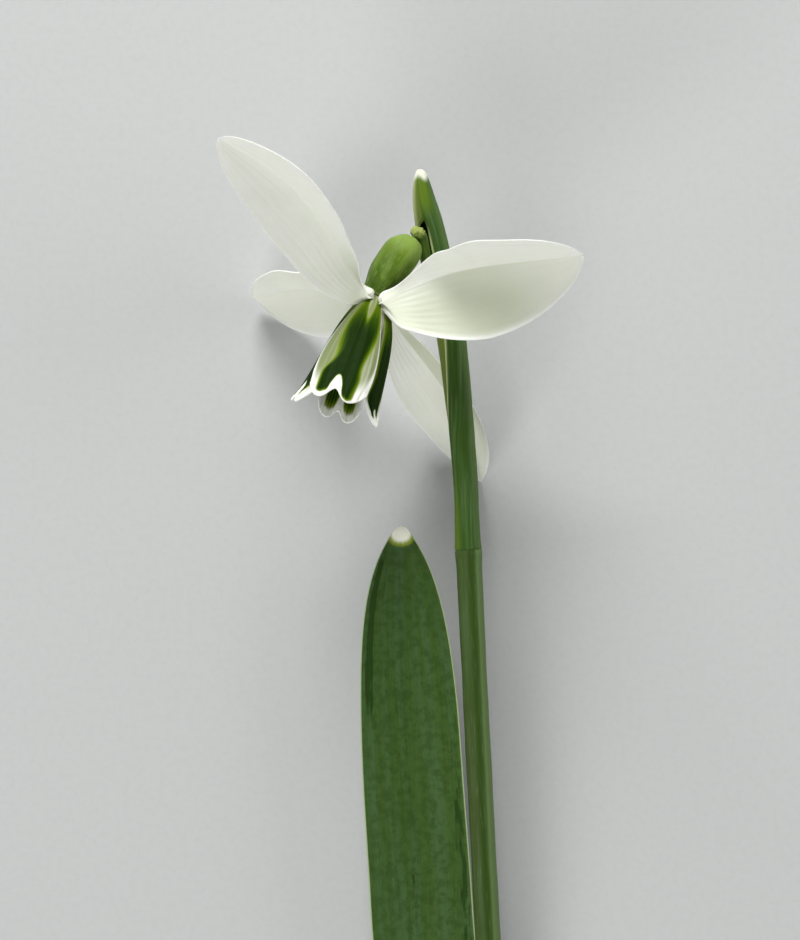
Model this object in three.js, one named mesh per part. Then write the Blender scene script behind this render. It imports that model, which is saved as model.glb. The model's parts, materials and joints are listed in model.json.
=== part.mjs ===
// A snowdrop flower, cut at the base of its stem and laid down. Millimetres, +Z up.
// It touches the ground with the tips of its two lower tepals and with the foot of its sheath.
// The pieces are drawn in the plant's own frame: +Y runs up the stem to the flower, +Z is up, and
// the middle of the receptacle, where the tepals meet the ovary, lies at height 0. The last lines
// level the plant on the ground and put the origin under the middle of its box.
import * as THREE from 'three';

const white = { color: 0xeef0ea, roughness: 0.5, metalness: 0 };
const freshGreen = { color: 0x7d9c33, roughness: 0.45, metalness: 0 };
const leafGreen = { color: 0x3d6128, roughness: 0.5, metalness: 0 };
const paleSheath = { color: 0xd8dcb4, roughness: 0.5, metalness: 0 };
const antherYellow = { color: 0xd98a26, roughness: 0.6, metalness: 0 };

// Lying on the ground.
const groundPitch = 1.88; // degrees about X that level the three resting points
const groundRoll = 2.2; // degrees about Y

// Flower: the receptacle's middle, the way the mouth of the cup points, and the seats round it.
const receptacle = new THREE.Vector3(-3, 20.3, 0);
const mouthWay = new THREE.Vector3(-0.313, -0.888, 0.337).normalize();
const frontWay = new THREE.Vector3(0, 0, 1).projectOnPlane(mouthWay).normalize();
const rightWay = new THREE.Vector3().crossVectors(frontWay, mouthWay);
const outerSeatRadius = 2.15;
const bladeThickness = 0.6;

// Stem: the middle line of scape and spathe runs straight up the plant and bows back to the ground.
const stemBowTop = 28.8; // height along the plant where the bow starts
const stemBow = 0.00053; // drop in mm for each square mm below that height
const stemDepthAtTop = -4.2;
const footY = -100.5;
const ringY = -9.7; // the joint where the spathe grows out of the scape
const scapeRadius = 1.52;
const ringRadius = 1.64;

const seamGap = 0.3; // between neighbouring pieces

function point(x, y, z) {
  return new THREE.Vector3(x, y, z);
}

function ease(from, to, value) {
  return THREE.MathUtils.smoothstep(value, from, to);
}

function named(name, geometry, material) {
  const mesh = new THREE.Mesh(geometry, new THREE.MeshStandardMaterial(material));
  mesh.name = name;
  return mesh;
}

function geometryFrom(points, triangles) {
  const geometry = new THREE.BufferGeometry();
  geometry.setAttribute('position', new THREE.Float32BufferAttribute(points.flatMap((p) => p.toArray()), 3));
  geometry.setIndex(triangles);
  geometry.computeVertexNormals();
  return geometry;
}

// Unit normals of a grid of points, from the differences between neighbours.
function gridNormals(grid) {
  const lastRow = grid.length - 1;
  const lastColumn = grid[0].length - 1;
  return grid.map((row, i) => row.map((_, j) => {
    const along = grid[Math.min(i + 1, lastRow)][j].clone().sub(grid[Math.max(i - 1, 0)][j]);
    const across = row[Math.min(j + 1, lastColumn)].clone().sub(row[Math.max(j - 1, 0)]);
    return along.cross(across).normalize();
  }));
}

// A closed thin solid on both sides of a grid, split into triangles alike on both faces.
function thicken(grid, thickness) {
  const rows = grid.length;
  const columns = grid[0].length;
  const normals = gridNormals(grid);
  const face = (offset) => grid.flatMap(
    (row, i) => row.map((p, j) => p.clone().addScaledVector(normals[i][j], offset)),
  );
  const front = face(thickness / 2);
  const back = face(-thickness / 2);
  const shift = rows * columns;
  const at = (i, j) => i * columns + j;
  const triangles = [];
  const quad = (a, b, c, d) => triangles.push(a, b, c, a, c, d);
  for (let i = 0; i < rows - 1; i += 1) {
    for (let j = 0; j < columns - 1; j += 1) {
      const [a, b, c, d] = [at(i, j), at(i + 1, j), at(i + 1, j + 1), at(i, j + 1)];
      quad(a, b, c, d);
      triangles.push(a + shift, c + shift, b + shift, a + shift, d + shift, c + shift);
    }
  }
  const rim = (a, b) => quad(b, a, a + shift, b + shift);
  for (let i = 0; i < rows - 1; i += 1) {
    rim(at(i, 0), at(i + 1, 0));
    rim(at(i + 1, columns - 1), at(i, columns - 1));
  }
  for (let j = 0; j < columns - 1; j += 1) {
    rim(at(0, j + 1), at(0, j));
    rim(at(rows - 1, j), at(rows - 1, j + 1));
  }
  return geometryFrom([...front, ...back], triangles);
}

// A blade: a middle line, the way its inner face looks, and at each place along it a half width,
// a fold (the angle at which each flank leaves the middle line) and a curl (how far it bends on).
function blade({
  path, facing, halfWidth, fold = () => 0, curl, reach = () => 1, rows, columns, spacing = 1,
}) {
  const grid = [];
  for (let i = 0; i <= rows; i += 1) {
    const row = [];
    for (let j = 0; j <= columns; j += 1) {
      const u = -1 + (2 * j) / columns;
      const t = (1 - (1 - i / rows) ** spacing) * reach(u);
      const ahead = path.getTangent(t);
      const inward = facing(t).projectOnPlane(ahead).normalize();
      const side = new THREE.Vector3().crossVectors(ahead, inward);
      const width = halfWidth(t, u);
      const start = THREE.MathUtils.degToRad(fold(t, u));
      const bend = THREE.MathUtils.degToRad(curl(t, u));
      const end = start + bend * Math.abs(u);
      const across = (Math.sign(u) * width * (Math.sin(end) - Math.sin(start))) / bend;
      const lift = (width * (Math.cos(start) - Math.cos(end))) / bend;
      row.push(path.getPoint(t).addScaledVector(side, across).addScaledVector(inward, lift));
    }
    grid.push(row);
  }
  return thicken(grid, bladeThickness);
}

// A round stalk along a curve, closed at both ends, with a radius for each place along it.
function stalk(path, radiusAt, rings, sides) {
  const frames = path.computeFrenetFrames(rings, false);
  const points = [];
  const triangles = [];
  for (let i = 0; i <= rings; i += 1) {
    const middle = path.getPointAt(i / rings);
    const radius = radiusAt(i / rings);
    for (let j = 0; j < sides; j += 1) {
      const angle = (2 * Math.PI * j) / sides;
      points.push(middle.clone()
        .addScaledVector(frames.normals[i], radius * Math.cos(angle))
        .addScaledVector(frames.binormals[i], radius * Math.sin(angle)));
    }
  }
  for (let i = 0; i < rings; i += 1) {
    for (let j = 0; j < sides; j += 1) {
      const a = i * sides + j;
      const b = i * sides + ((j + 1) % sides);
      triangles.push(a, b, b + sides, a, b + sides, a + sides);
    }
  }
  const first = points.push(path.getPointAt(0)) - 1;
  const last = points.push(path.getPointAt(1)) - 1;
  for (let j = 0; j < sides; j += 1) {
    const next = (j + 1) % sides;
    triangles.push(first, next, j);
    triangles.push(last, rings * sides + j, rings * sides + next);
  }
  return geometryFrom(points, triangles);
}

// The stem's middle line at a height along the plant.
const stemPlan = new THREE.CatmullRomCurve3([
  point(13.05, -100.5, 0), point(10.74, -57.3, 0), point(9.3, -30.3, 0), point(8.3, -9.7, 0),
  point(7.81, 0.9, 0), point(6.23, 16.1, 0), point(5.2, 21.8, 0), point(4.11, 26.6, 0),
  point(3.6, 29.4, 0), point(2.9, 32.7, 0), point(2.42, 36.3, 0)]);

function stemPoint(y) {
  let low = 0;
  let high = 1;
  for (let step = 0; step < 30; step += 1) {
    const middle = (low + high) / 2;
    if (stemPlan.getPoint(middle).y < y) low = middle;
    else high = middle;
  }
  const drop = stemBow * Math.max(stemBowTop - y, 0) ** 2;
  return point(stemPlan.getPoint(low).x, y, stemDepthAtTop - drop);
}

function stemLine(fromY, toY, count) {
  const points = [];
  for (let i = 0; i <= count; i += 1) points.push(stemPoint(fromY + ((toY - fromY) * i) / count));
  return new THREE.CatmullRomCurve3(points);
}

function seat(angle, radius, height = 0) {
  const turn = THREE.MathUtils.degToRad(angle);
  return receptacle.clone()
    .addScaledVector(rightWay, radius * Math.cos(turn))
    .addScaledVector(frontWay, radius * Math.sin(turn))
    .addScaledVector(mouthWay, height);
}

// Outer tepals: broad spoons on a narrow claw, folded lengthwise so that one flank stands up.
// Each pair of values is for the left and the right flank, seen from the claw on the inner face:
// half width in mm, outline (how it widens from the claw and closes to the tip), fold and curl.
const outerTepals = [
  {
    name: 'outer_tepal_right',
    angle: 41,
    route: [point(8.3, 25.1, 3.2), point(11.4, 24.3, 8.5), point(21.4, 25.2, 13)],
    faces: [point(-0.4, -0.25, 0.88), point(-0.31, -0.51, 0.81)],
    halfWidths: [7.3, 8.7],
    outlines: [[1.2, 0.4], [0.51, 0.61]],
    folds: [52, 0],
    curls: [-15, 22],
  },
  {
    name: 'outer_tepal_upper_left',
    angle: 142,
    route: [point(-7.8, 25.4, 3.5), point(-8.4, 33.2, 8.5), point(-21.2, 38.8, 12.5)],
    faces: [point(-0.19, -0.65, 0.73), point(-0.1, -0.6, 0.79)],
    halfWidths: [6.7, 6.8],
    outlines: [[0.56, 0.49], [1.55, 0.36]],
    folds: [0, 45],
    curls: [22, -8],
  },
  {
    name: 'outer_tepal_lower_left',
    angle: 236,
    route: [point(-8, 21.5, -7.6), point(-9.6, 24.1, -15), point(-18, 21.4, -20)],
    faces: [point(-0.71, -0.52, 0.47), point(-0.48, -0.83, 0.29)],
    halfWidths: [7.6, 6.7],
    outlines: [[1.43, 0.49], [0.92, 0.58]],
    folds: [0, 22],
    curls: [26, 12],
  },
  {
    name: 'outer_tepal_lower_right',
    angle: 323,
    route: [point(2.9, 11.7, -8.9), point(7.8, 10.4, -15.3), point(10.1, -1.4, -19.6)],
    faces: [point(0, -0.63, 0.77), point(-0.42, -0.71, 0.57)],
    halfWidths: [7, 5.9],
    outlines: [[1.8, 0.85], [0.95, 0.65]],
    folds: [45, 0],
    curls: [-10, 22],
  },
];
const clawShare = 0.13; // claw width as a share of the full width
const clawCurl = 32;
const foldStart = 0.1; // share of the length where the fold begins
const foldFull = 0.45;

function outerOutline(t, [rise, fall]) {
  const widest = rise / (rise + fall);
  const body = (t ** rise * (1 - t) ** fall) / (widest ** rise * (1 - widest) ** fall);
  const claw = clawShare * (1 - t) ** 4;
  return Math.max(body * (1 - claw) + claw, 0.05);
}

function outerTepal(tepal) {
  const [faceAtClaw, faceAtTip] = tepal.faces;
  const flank = (u) => (u > 0 ? 1 : 0);
  const folded = (t) => ease(foldStart, foldFull, t);
  const geometry = blade({
    path: new THREE.CubicBezierCurve3(seat(tepal.angle, outerSeatRadius, 0.15), ...tepal.route),
    facing: (t) => faceAtClaw.clone().lerp(faceAtTip, t),
    halfWidth: (t, u) => tepal.halfWidths[flank(u)] * outerOutline(t, tepal.outlines[flank(u)]),
    fold: (t, u) => tepal.folds[flank(u)] * folded(t),
    curl: (t, u) => THREE.MathUtils.lerp(clawCurl, tepal.curls[flank(u)], folded(t)),
    rows: 16,
    columns: 10,
    spacing: 1.3,
  });
  return named(tepal.name, geometry, white);
}

// Inner tepals: shorter, blunt and notched, standing round the mouth as a cup. Turns are degrees
// round the cup's axis at the claw and at the tip, and the way that the inner face looks. Radii are
// measured from that axis at the claw, in the lower third, in the upper third and at the tip.
const innerTepals = [
  {
    name: 'inner_tepal_front',
    turns: [101, 100],
    faceTurn: 103,
    radii: [1.45, 4.35, 4.5, 4.5],
    length: 15.3,
    halfWidth: 4,
    curl: 46,
    tipShare: 0.94,
    slope: -0.006,
  },
  {
    name: 'inner_tepal_left',
    turns: [177, 195],
    faceTurn: 157,
    radii: [1.45, 3.6, 3.3, 5.3],
    length: 15.1,
    halfWidth: 2.6,
    curl: 38,
    tipShare: 0.5,
    slope: 0,
  },
  {
    name: 'inner_tepal_back',
    turns: [262, 274],
    faceTurn: 274,
    radii: [1.35, 4.3, 4.8, 4.6],
    length: 14.5,
    halfWidth: 2.7,
    curl: 40,
    tipShare: 1.1,
    slope: -0.012,
  },
  {
    name: 'inner_tepal_right',
    turns: [9, 3],
    faceTurn: 37,
    radii: [1.45, 4.2, 3, 4.8],
    length: 15.2,
    halfWidth: 1.9,
    curl: 32,
    tipShare: 0.8,
    slope: 0.02,
  },
];
const notchDepth = 0.1; // share of the length that the tip's notch cuts in
const notchWidth = 0.26; // share of the half width
const lobeRounding = 0.13; // share of the length lost at the outer corners
const innerClawShare = 0.24; // claw width as a share of the full width

function innerOutline(t, tipShare) {
  const opened = innerClawShare + (1 - innerClawShare) * Math.sin((Math.PI / 2) * Math.min(t / 0.76, 1));
  return opened * (1 - (1 - tipShare) * ease(0.72, 1.05, t));
}

function innerTepal(tepal) {
  const [claw, low, high, tip] = tepal.radii;
  const turnAt = (t) => THREE.MathUtils.lerp(tepal.turns[0], tepal.turns[1], t);
  const path = new THREE.CubicBezierCurve3(
    seat(turnAt(0), claw, 0.1),
    seat(turnAt(0.3), low, tepal.length * 0.3),
    seat(turnAt(0.7), high, tepal.length * 0.7),
    seat(turnAt(1), tip, tepal.length),
  );
  const inward = receptacle.clone().sub(seat(tepal.faceTurn, 1));
  const geometry = blade({
    path,
    facing: () => inward.clone(),
    halfWidth: (t) => tepal.halfWidth * innerOutline(t, tepal.tipShare),
    curl: () => tepal.curl,
    reach: (u) => 1 - notchDepth * Math.exp(-((u / notchWidth) ** 2)) - lobeRounding * Math.abs(u) ** 4
      + tepal.slope * u,
    rows: 12,
    columns: 8,
  });
  return named(tepal.name, geometry, white);
}

// Ovary: a bent green barrel that ends flat at the receptacle.
const ovaryTopRadius = 0.5; // under the pedicel's knob
const ovaryRadius = 2.35;
const ovaryEndRadius = 1.55;
const ovaryDome = 0.3; // share of the length that rounds the top

function ovary() {
  const end = receptacle.clone().addScaledVector(mouthWay, -0.8);
  const path = new THREE.CatmullRomCurve3([
    point(1.55, 28, -1.5), point(0.95, 26.8, -1.2), point(-0.15, 25.2, -0.8), point(-1.4, 23.2, -0.4), end]);
  const radiusAt = (t) => {
    const climb = Math.min(t / ovaryDome, 1);
    const dome = Math.sqrt(climb * (2 - climb));
    const taper = (ovaryRadius - ovaryEndRadius) * ease(0.6, 1, t);
    return ovaryTopRadius + (ovaryRadius - ovaryTopRadius) * dome - taper;
  };
  return named('ovary', stalk(path, radiusAt, 14, 16), freshGreen);
}

// Pedicel: it rises inside the spathe from the ring, bends out through the slit and ends in a
// swollen knob on the ovary.
const pedicelRadius = 0.45;
const knobRadius = 0.85;

function pedicel() {
  const inside = [ringY + seamGap, -2, 6, 13, 19, 23.5].map(stemPoint);
  const path = new THREE.CatmullRomCurve3([
    ...inside, point(3.95, 26.4, -3.9), point(3.3, 28.2, -3), point(2.45, 29.1, -2.2),
    point(1.75, 28.85, -1.75)]);
  const radiusAt = (t) => pedicelRadius + (knobRadius - pedicelRadius) * ease(0.93, 0.99, t);
  return named('pedicel', stalk(path, radiusAt, 28, 6), freshGreen);
}

// Spathe: one long bract rolled round the pedicel. Its edges meet along a seam low down and part
// in a slit near the top, and it ends in a blunt point.
const spatheBaseY = ringY + seamGap;
const spatheTipY = 36.3;
const slitWay = point(-0.45, 0, 0.9).normalize();

const spatheBaseRadius = 1.28;
const spatheSwell = 0.34; // how much wider it grows beside the flower
const spatheNarrowing = 1.35; // towards its point

function spatheRadius(t) {
  return spatheBaseRadius + spatheSwell * ease(0.3, 0.75, t) - spatheNarrowing * ease(0.8, 1.03, t);
}

function spatheHalfAngle(t) {
  return 168 - 24 * (ease(0.62, 0.75, t) - ease(0.86, 0.94, t));
}

function spathe() {
  const rows = 22;
  const columns = 12;
  const grid = [];
  for (let i = 0; i <= rows; i += 1) {
    const t = 1 - (1 - i / rows) ** 1.25;
    const middle = stemPoint(spatheBaseY + (spatheTipY - spatheBaseY) * t);
    const above = stemPoint(middle.y + 0.5).sub(stemPoint(middle.y - 0.5)).normalize();
    const open = slitWay.clone().projectOnPlane(above).normalize();
    const side = new THREE.Vector3().crossVectors(above, open);
    const half = THREE.MathUtils.degToRad(spatheHalfAngle(t));
    const row = [];
    for (let j = 0; j <= columns; j += 1) {
      const angle = Math.PI + half * (-1 + (2 * j) / columns);
      row.push(middle.clone()
        .addScaledVector(open, spatheRadius(t) * Math.cos(angle))
        .addScaledVector(side, spatheRadius(t) * Math.sin(angle)));
    }
    grid.push(row);
  }
  return named('spathe', thicken(grid, bladeThickness), freshGreen);
}

// Scape: the solid flower stem from the cut foot to the ring.
function scape() {
  const radiusAt = (t) => scapeRadius + (ringRadius - scapeRadius) * ease(0.97, 1, t);
  return named('scape', stalk(stemLine(footY, ringY, 12), radiusAt, 28, 12), leafGreen);
}

// Leaf: a strap with a hooded point. Low down it slips under the stem and curls round it.
const leafHalfWidth = 6.35;
const leafFootHalfWidth = 2.9;
const leafPoints = [
  point(13.05, -100.5, -15.3), point(12.6, -93.5, -14.52),
  point(10.9, -86.5, -14.15), point(8.2, -79.5, -13.65),
  point(5.6, -72.5, -13.05), point(3.9, -65, -12.7), point(2.95, -57.6, -12.4), point(2.4, -49.6, -12.1),
  point(1.7, -39.3, -11.8), point(1.17, -30.6, -11.6), point(0.6, -20.9, -11.4), point(0.3, -13.8, -11.2),
  point(0.1, -6.9, -11)];

function leaf() {
  const path = new THREE.CatmullRomCurve3(leafPoints);
  const length = path.getLength();
  const halfWidth = (t) => {
    const toTip = length * (1 - t);
    const pointed = 1 - Math.exp(-((toTip / 7.4) ** 0.97));
    const full = leafFootHalfWidth + (leafHalfWidth - leafFootHalfWidth) * ease(10, 36, length * t);
    return Math.max(full * pointed, 0.3);
  };
  const even = { getPoint: (t) => path.getPointAt(t), getTangent: (t) => path.getTangentAt(t) };
  const geometry = blade({
    path: even,
    facing: () => point(0, 0, 1),
    halfWidth,
    curl: (t) => 14 + 58 * (1 - ease(10, 20, length * t)),
    rows: 30,
    columns: 8,
    spacing: 1.15,
  });
  return named('leaf', geometry, leafGreen);
}

// Basal sheath: the short tube that holds leaf and scape together, cut off flush with them.
const sheathBore = 3.05;
const sheathRadius = 3.65;
const sheathLength = 7.5;
const sheathSlant = 1.5; // its mouth is cut at a slant, higher on the upper side

function sheath() {
  const sides = 20;
  const stations = [0, 0.5, 1];
  const ring = (t, radius) => {
    const middle = stemPoint(footY + sheathLength * t);
    const points = [];
    for (let j = 0; j < sides; j += 1) {
      const angle = (2 * Math.PI * j) / sides;
      const rise = sheathSlant * t * Math.sin(angle);
      points.push(middle.clone().add(point(radius * Math.cos(angle), rise, radius * Math.sin(angle))));
    }
    return points;
  };
  const outside = stations.map((t) => ring(t, sheathRadius));
  const inside = stations.map((t) => ring(t, sheathBore)).reverse();
  const loops = [...outside, ...inside];
  const triangles = [];
  loops.forEach((_, i) => {
    const next = (i + 1) % loops.length;
    for (let j = 0; j < sides; j += 1) {
      const k = (j + 1) % sides;
      triangles.push(i * sides + j, next * sides + k, i * sides + k);
      triangles.push(i * sides + j, next * sides + j, next * sides + k);
    }
  });
  return named('basal_sheath', geometryFrom(loops.flat(), triangles), paleSheath);
}

// Stamens: the ring of filaments and pointed anthers that stand together round the style.
const stamenCount = 8;
const stamenBore = 0.55;
const stamenOutline = [[-0.3, 0.8], [2, 0.8], [2.8, 1.4], [5.2, 1.3], [8, 0.8]]; // height, radius
const antherBulge = 0.12; // how far each anther stands out of the ring, as a share of its radius

function stamens() {
  const sides = stamenCount * 3;
  const ring = (height, radius, lobe) => {
    const points = [];
    for (let j = 0; j < sides; j += 1) {
      const angle = (360 * j) / sides;
      const swell = 1 + lobe * Math.cos(THREE.MathUtils.degToRad(angle * stamenCount));
      points.push(seat(angle, radius * swell, height));
    }
    return points;
  };
  const outside = stamenOutline.map(([height, radius], i) => ring(height, radius, i > 1 ? antherBulge : 0));
  const inside = stamenOutline.map(([height]) => ring(height, stamenBore, 0)).reverse();
  const loops = [...outside, ...inside];
  const triangles = [];
  loops.forEach((_, i) => {
    const next = (i + 1) % loops.length;
    for (let j = 0; j < sides; j += 1) {
      const k = (j + 1) % sides;
      triangles.push(i * sides + j, i * sides + k, next * sides + k);
      triangles.push(i * sides + j, next * sides + k, next * sides + j);
    }
  });
  return named('stamens', geometryFrom(loops.flat(), triangles), antherYellow);
}

// Style: the thin rod in the middle of the stamens.
const styleRadius = 0.25;
const styleEnds = [-0.25, 9.4]; // heights below the receptacle

function style() {
  const path = new THREE.LineCurve3(...styleEnds.map((height) => seat(0, 0, height)));
  return named('style', stalk(path, () => styleRadius, 6, 8), white);
}

const plant = new THREE.Group();
plant.add(scape(), spathe(), pedicel(), ovary());
outerTepals.forEach((tepal) => plant.add(outerTepal(tepal)));
innerTepals.forEach((tepal) => plant.add(innerTepal(tepal)));
plant.add(stamens(), style(), leaf(), sheath());
plant.rotation.set(THREE.MathUtils.degToRad(groundPitch), THREE.MathUtils.degToRad(groundRoll), 0);

const laid = new THREE.Group();
laid.add(plant);
laid.updateMatrixWorld(true);
const box = new THREE.Box3().setFromObject(laid, true);
plant.position.set(-(box.min.x + box.max.x) / 2, -(box.min.y + box.max.y) / 2, -box.min.z);

export default laid;
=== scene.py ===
# A snowdrop flower, cut and laid down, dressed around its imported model.
# Shapes are worked out in the plant's own frame, in millimetres: +Y up the stem to the flower,
# +Z up, height 0 at the receptacle. onGround() lays them down and turns them into metres.
import json
import math
from functools import partial

import bpy
import numpy as np
from mathutils import Matrix, Vector

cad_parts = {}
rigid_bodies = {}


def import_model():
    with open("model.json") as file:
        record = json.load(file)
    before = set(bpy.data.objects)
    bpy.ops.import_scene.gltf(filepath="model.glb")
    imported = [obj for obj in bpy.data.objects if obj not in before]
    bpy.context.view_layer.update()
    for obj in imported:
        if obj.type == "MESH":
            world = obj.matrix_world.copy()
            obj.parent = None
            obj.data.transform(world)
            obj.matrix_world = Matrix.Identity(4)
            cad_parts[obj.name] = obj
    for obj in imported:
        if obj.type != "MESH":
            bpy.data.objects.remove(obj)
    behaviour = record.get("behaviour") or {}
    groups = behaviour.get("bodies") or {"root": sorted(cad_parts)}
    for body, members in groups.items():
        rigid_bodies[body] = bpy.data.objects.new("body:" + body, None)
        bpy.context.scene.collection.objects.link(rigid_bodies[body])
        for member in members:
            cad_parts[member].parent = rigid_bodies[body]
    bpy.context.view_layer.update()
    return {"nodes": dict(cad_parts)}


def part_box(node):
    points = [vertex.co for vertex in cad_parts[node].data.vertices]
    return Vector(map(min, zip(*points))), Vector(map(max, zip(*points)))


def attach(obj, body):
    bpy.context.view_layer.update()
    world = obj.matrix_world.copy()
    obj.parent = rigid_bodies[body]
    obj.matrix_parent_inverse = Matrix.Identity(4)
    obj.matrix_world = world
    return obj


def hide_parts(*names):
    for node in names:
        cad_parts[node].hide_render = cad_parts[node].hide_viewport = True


for leftover in list(bpy.data.objects):
    bpy.data.objects.remove(leftover)

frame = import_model()
print("frame loaded:", len(frame["nodes"]), "nodes")

# How the plant lies, and the middle of the flower that its petals stand on.
lay = {"pitch": 1.88, "roll": 2.2}  # degrees about X and Y that level the resting points
flower = {
    "receptacle": (-3, 20.3, 0),
    "mouthWay": (-0.313, -0.888, 0.337),  # the way the mouth of the cup points
    "styleEnds": (-0.25, 9.4),
    "outerSeat": 2.15,
}


def unit(v):
    v = np.asarray(v, float)
    return v / np.linalg.norm(v, axis=-1, keepdims=True)


def ease(low, high, value):
    x = np.clip((np.asarray(value, float) - low) / (high - low), 0, 1)
    return x * x * (3 - 2 * x)


def mix(a, b, share):
    return a + (b - a) * share


plantTurn = np.array(
    Matrix.Rotation(math.radians(lay["pitch"]), 3, "X") @ Matrix.Rotation(math.radians(lay["roll"]), 3, "Y")
)
receptacle = np.array(flower["receptacle"], float)
mouthWay = unit(flower["mouthWay"])
frontWay = unit(np.array((0, 0, 1.0)) - mouthWay * mouthWay[2])
rightWay = np.cross(frontWay, mouthWay)

# The style is a straight rod, so the middle of its box is the middle of the rod.
styleLow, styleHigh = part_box("style")
styleMiddle = np.array((styleLow + styleHigh) / 2) * 1000
plantShift = styleMiddle - plantTurn @ (receptacle + mouthWay * sum(flower["styleEnds"]) / 2)


def onGround(points):
    return (np.asarray(points, float) @ plantTurn.T + plantShift) / 1000


# A place round the flower's axis, at an angle from its right and a height towards the mouth.
def seat(angle, radius, height=0.0):
    turn = math.radians(angle)
    out = rightWay * math.cos(turn) + frontWay * math.sin(turn)
    return receptacle + out * radius + mouthWay * height


def color(code):
    parts = [int(code[i:i + 2], 16) / 255 for i in (0, 2, 4)]
    return [p / 12.92 if p <= 0.04045 else ((p + 0.055) / 1.055) ** 2.4 for p in parts] + [1.0]


# Adds a node, sets it up and links it. An input may be a value, a socket or a whole node.
def addNode(tree, kind, inputs=(), **settings):
    made = tree.nodes.new(kind)
    for name, value in settings.items():
        setattr(made, name, value)
    for key, value in inputs.items() if isinstance(inputs, dict) else enumerate(inputs):
        if isinstance(value, bpy.types.Node):
            value = next(socket for socket in value.outputs if socket.enabled)
        if isinstance(value, bpy.types.NodeSocket):
            tree.links.new(value, made.inputs[key])
        else:
            made.inputs[key].default_value = value
    return made


def newMaterial(name):
    material = bpy.data.materials.new(name)
    material.use_nodes = True
    material.node_tree.nodes.clear()
    return material, partial(addNode, material.node_tree)


# Streaks that run along a piece. Counts are how many fit its width and its length.
def streaks(node, perWidth, perLength, seed, detail=3.0):
    place = node("ShaderNodeUVMap", uv_map="blade")
    stretched = node("ShaderNodeMapping", {
        "Vector": place, "Location": (seed, seed * 0.37, 0), "Scale": (perWidth, perLength, 1),
    })
    return node("ShaderNodeTexNoise", {"Vector": stretched, "Scale": 1.0, "Detail": detail, "Roughness": 0.55})


# Grain that doesn't follow the piece, with spots of a size in millimetres.
def grain(node, size, detail=2.0):
    place = node("ShaderNodeTexCoord").outputs["Object"]
    return node("ShaderNodeTexNoise", {"Vector": place, "Scale": 1000 / size, "Detail": detail, "Roughness": 0.6})


# Lays a colour over another where a pattern lies between two levels, up to a given share.
def over(node, below, code, pattern, low=0.0, high=1.0, most=1.0):
    share = node(
        "ShaderNodeMapRange", {"Value": pattern, "From Min": low, "From Max": high, "To Max": most},
        interpolation_type="SMOOTHSTEP",
    )
    below = color(below) if isinstance(below, str) else below
    return node("ShaderNodeMix", {0: share, 6: below, 7: color(code)}, data_type="RGBA")


def finish(node, base, relief, depth, roughness, **constants):
    bumped = node("ShaderNodeBump", {"Height": relief, "Distance": depth / 1000, "Strength": 1.0})
    rough = node("ShaderNodeMapRange", {
        "Value": grain(node, 0.8), "From Min": 0.3, "From Max": 0.7,
        "To Min": roughness[0], "To Max": roughness[1],
    })
    shader = node("ShaderNodeBsdfPrincipled", {"Base Color": base, "Roughness": rough, "Normal": bumped})
    for name, value in constants.items():
        shader.inputs[name.replace("_", " ")].default_value = value
    node("ShaderNodeOutputMaterial", {"Surface": shader})


# Fresh petal: thin and full of tiny air spaces that scatter light, so it looks soft and white,
# with fine greyish veins from claw to tip and a skin of fine cells. Painted shade: on the white
# petals a greyer, greener colour is laid where their creases and flanks fall in shade.
petal = {
    "white": "f4f6ee", "shade": "e5e8dd", "vein": "d8dccf", "claw": "e4e9d4", "rim": "f9faf4",
    "margin": "848f62", "paintedShade": "ccd1be",
}
mark = {"edge": "8a9640", "light": "5c7608", "mid": "304c00", "deep": "142b00"}


def petalMaterial(name, marked):
    material, node = newMaterial(name)
    across, along, field, end, paintedShade = (
        node("ShaderNodeAttribute", attribute_name=key).outputs["Fac"]
        for key in ("across", "along", "mark", "end", "paintedShade")
    )
    veins = streaks(node, 46.0, 1.1, 3.1, 2.0)
    if marked:
        base = over(node, petal["margin"], petal["white"], end)
        base = over(node, base, petal["white"], streaks(node, 11.0, 0.9, 5.5), 0.5, 0.74, 0.3)
    else:
        base = over(node, petal["white"], petal["shade"], grain(node, 5.0), 0.42, 0.75, 0.35)
        # Painted shade: greyer colour where the petal's creases and flanks fall in shade.
        base = over(node, base, petal["paintedShade"], paintedShade)
    base = over(node, base, petal["vein"], veins, 0.54, 0.7, 0.25)
    base = over(node, base, petal["claw"], along, 0.16, 0.02, 0.6)
    base = over(node, base, petal["rim"], across, 0.94, 0.99, 0.7)
    if marked:
        base = paintMark(node, base, field)
    ridges = node("ShaderNodeMath", (veins, grain(node, 0.3)), operation="ADD")
    scatter, gloss = (0.04, 0.06) if marked else (0.3, 0.25)
    finish(
        node, base, ridges, 0.02, (0.5, 0.62), Subsurface_Weight=scatter, Subsurface_Radius=(1.0, 1.0, 0.8),
        Subsurface_Scale=0.0006, Specular_IOR_Level=gloss,
    )
    return material


# The green mark goes from a yellow-green edge to a deep middle, in fibres along the petal.
def paintMark(node, base, field):
    fibres = node("ShaderNodeMapRange", {
        "Value": streaks(node, 26.0, 1.3, 7.7), "From Min": 0.3, "From Max": 0.7, "To Min": 0.86, "To Max": 1.08,
    })
    ramp = node("ShaderNodeValToRGB", {
        "Fac": node("ShaderNodeMath", (field, fibres), operation="MULTIPLY", use_clamp=True),
    })
    stops = ramp.color_ramp.elements
    stops[0].position, stops[0].color = 0.15, color(mark["edge"])
    stops[1].position, stops[1].color = 0.95, color(mark["deep"])
    for position, key in ((0.42, "light"), (0.7, "mid")):
        stops.new(position).color = color(mark[key])
    share = node(
        "ShaderNodeMapRange", {"Value": field, "From Min": 0.02, "From Max": 0.3},
        interpolation_type="SMOOTHSTEP",
    )
    return node("ShaderNodeMix", {0: share, 6: base, 7: ramp}, data_type="RGBA")
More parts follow.
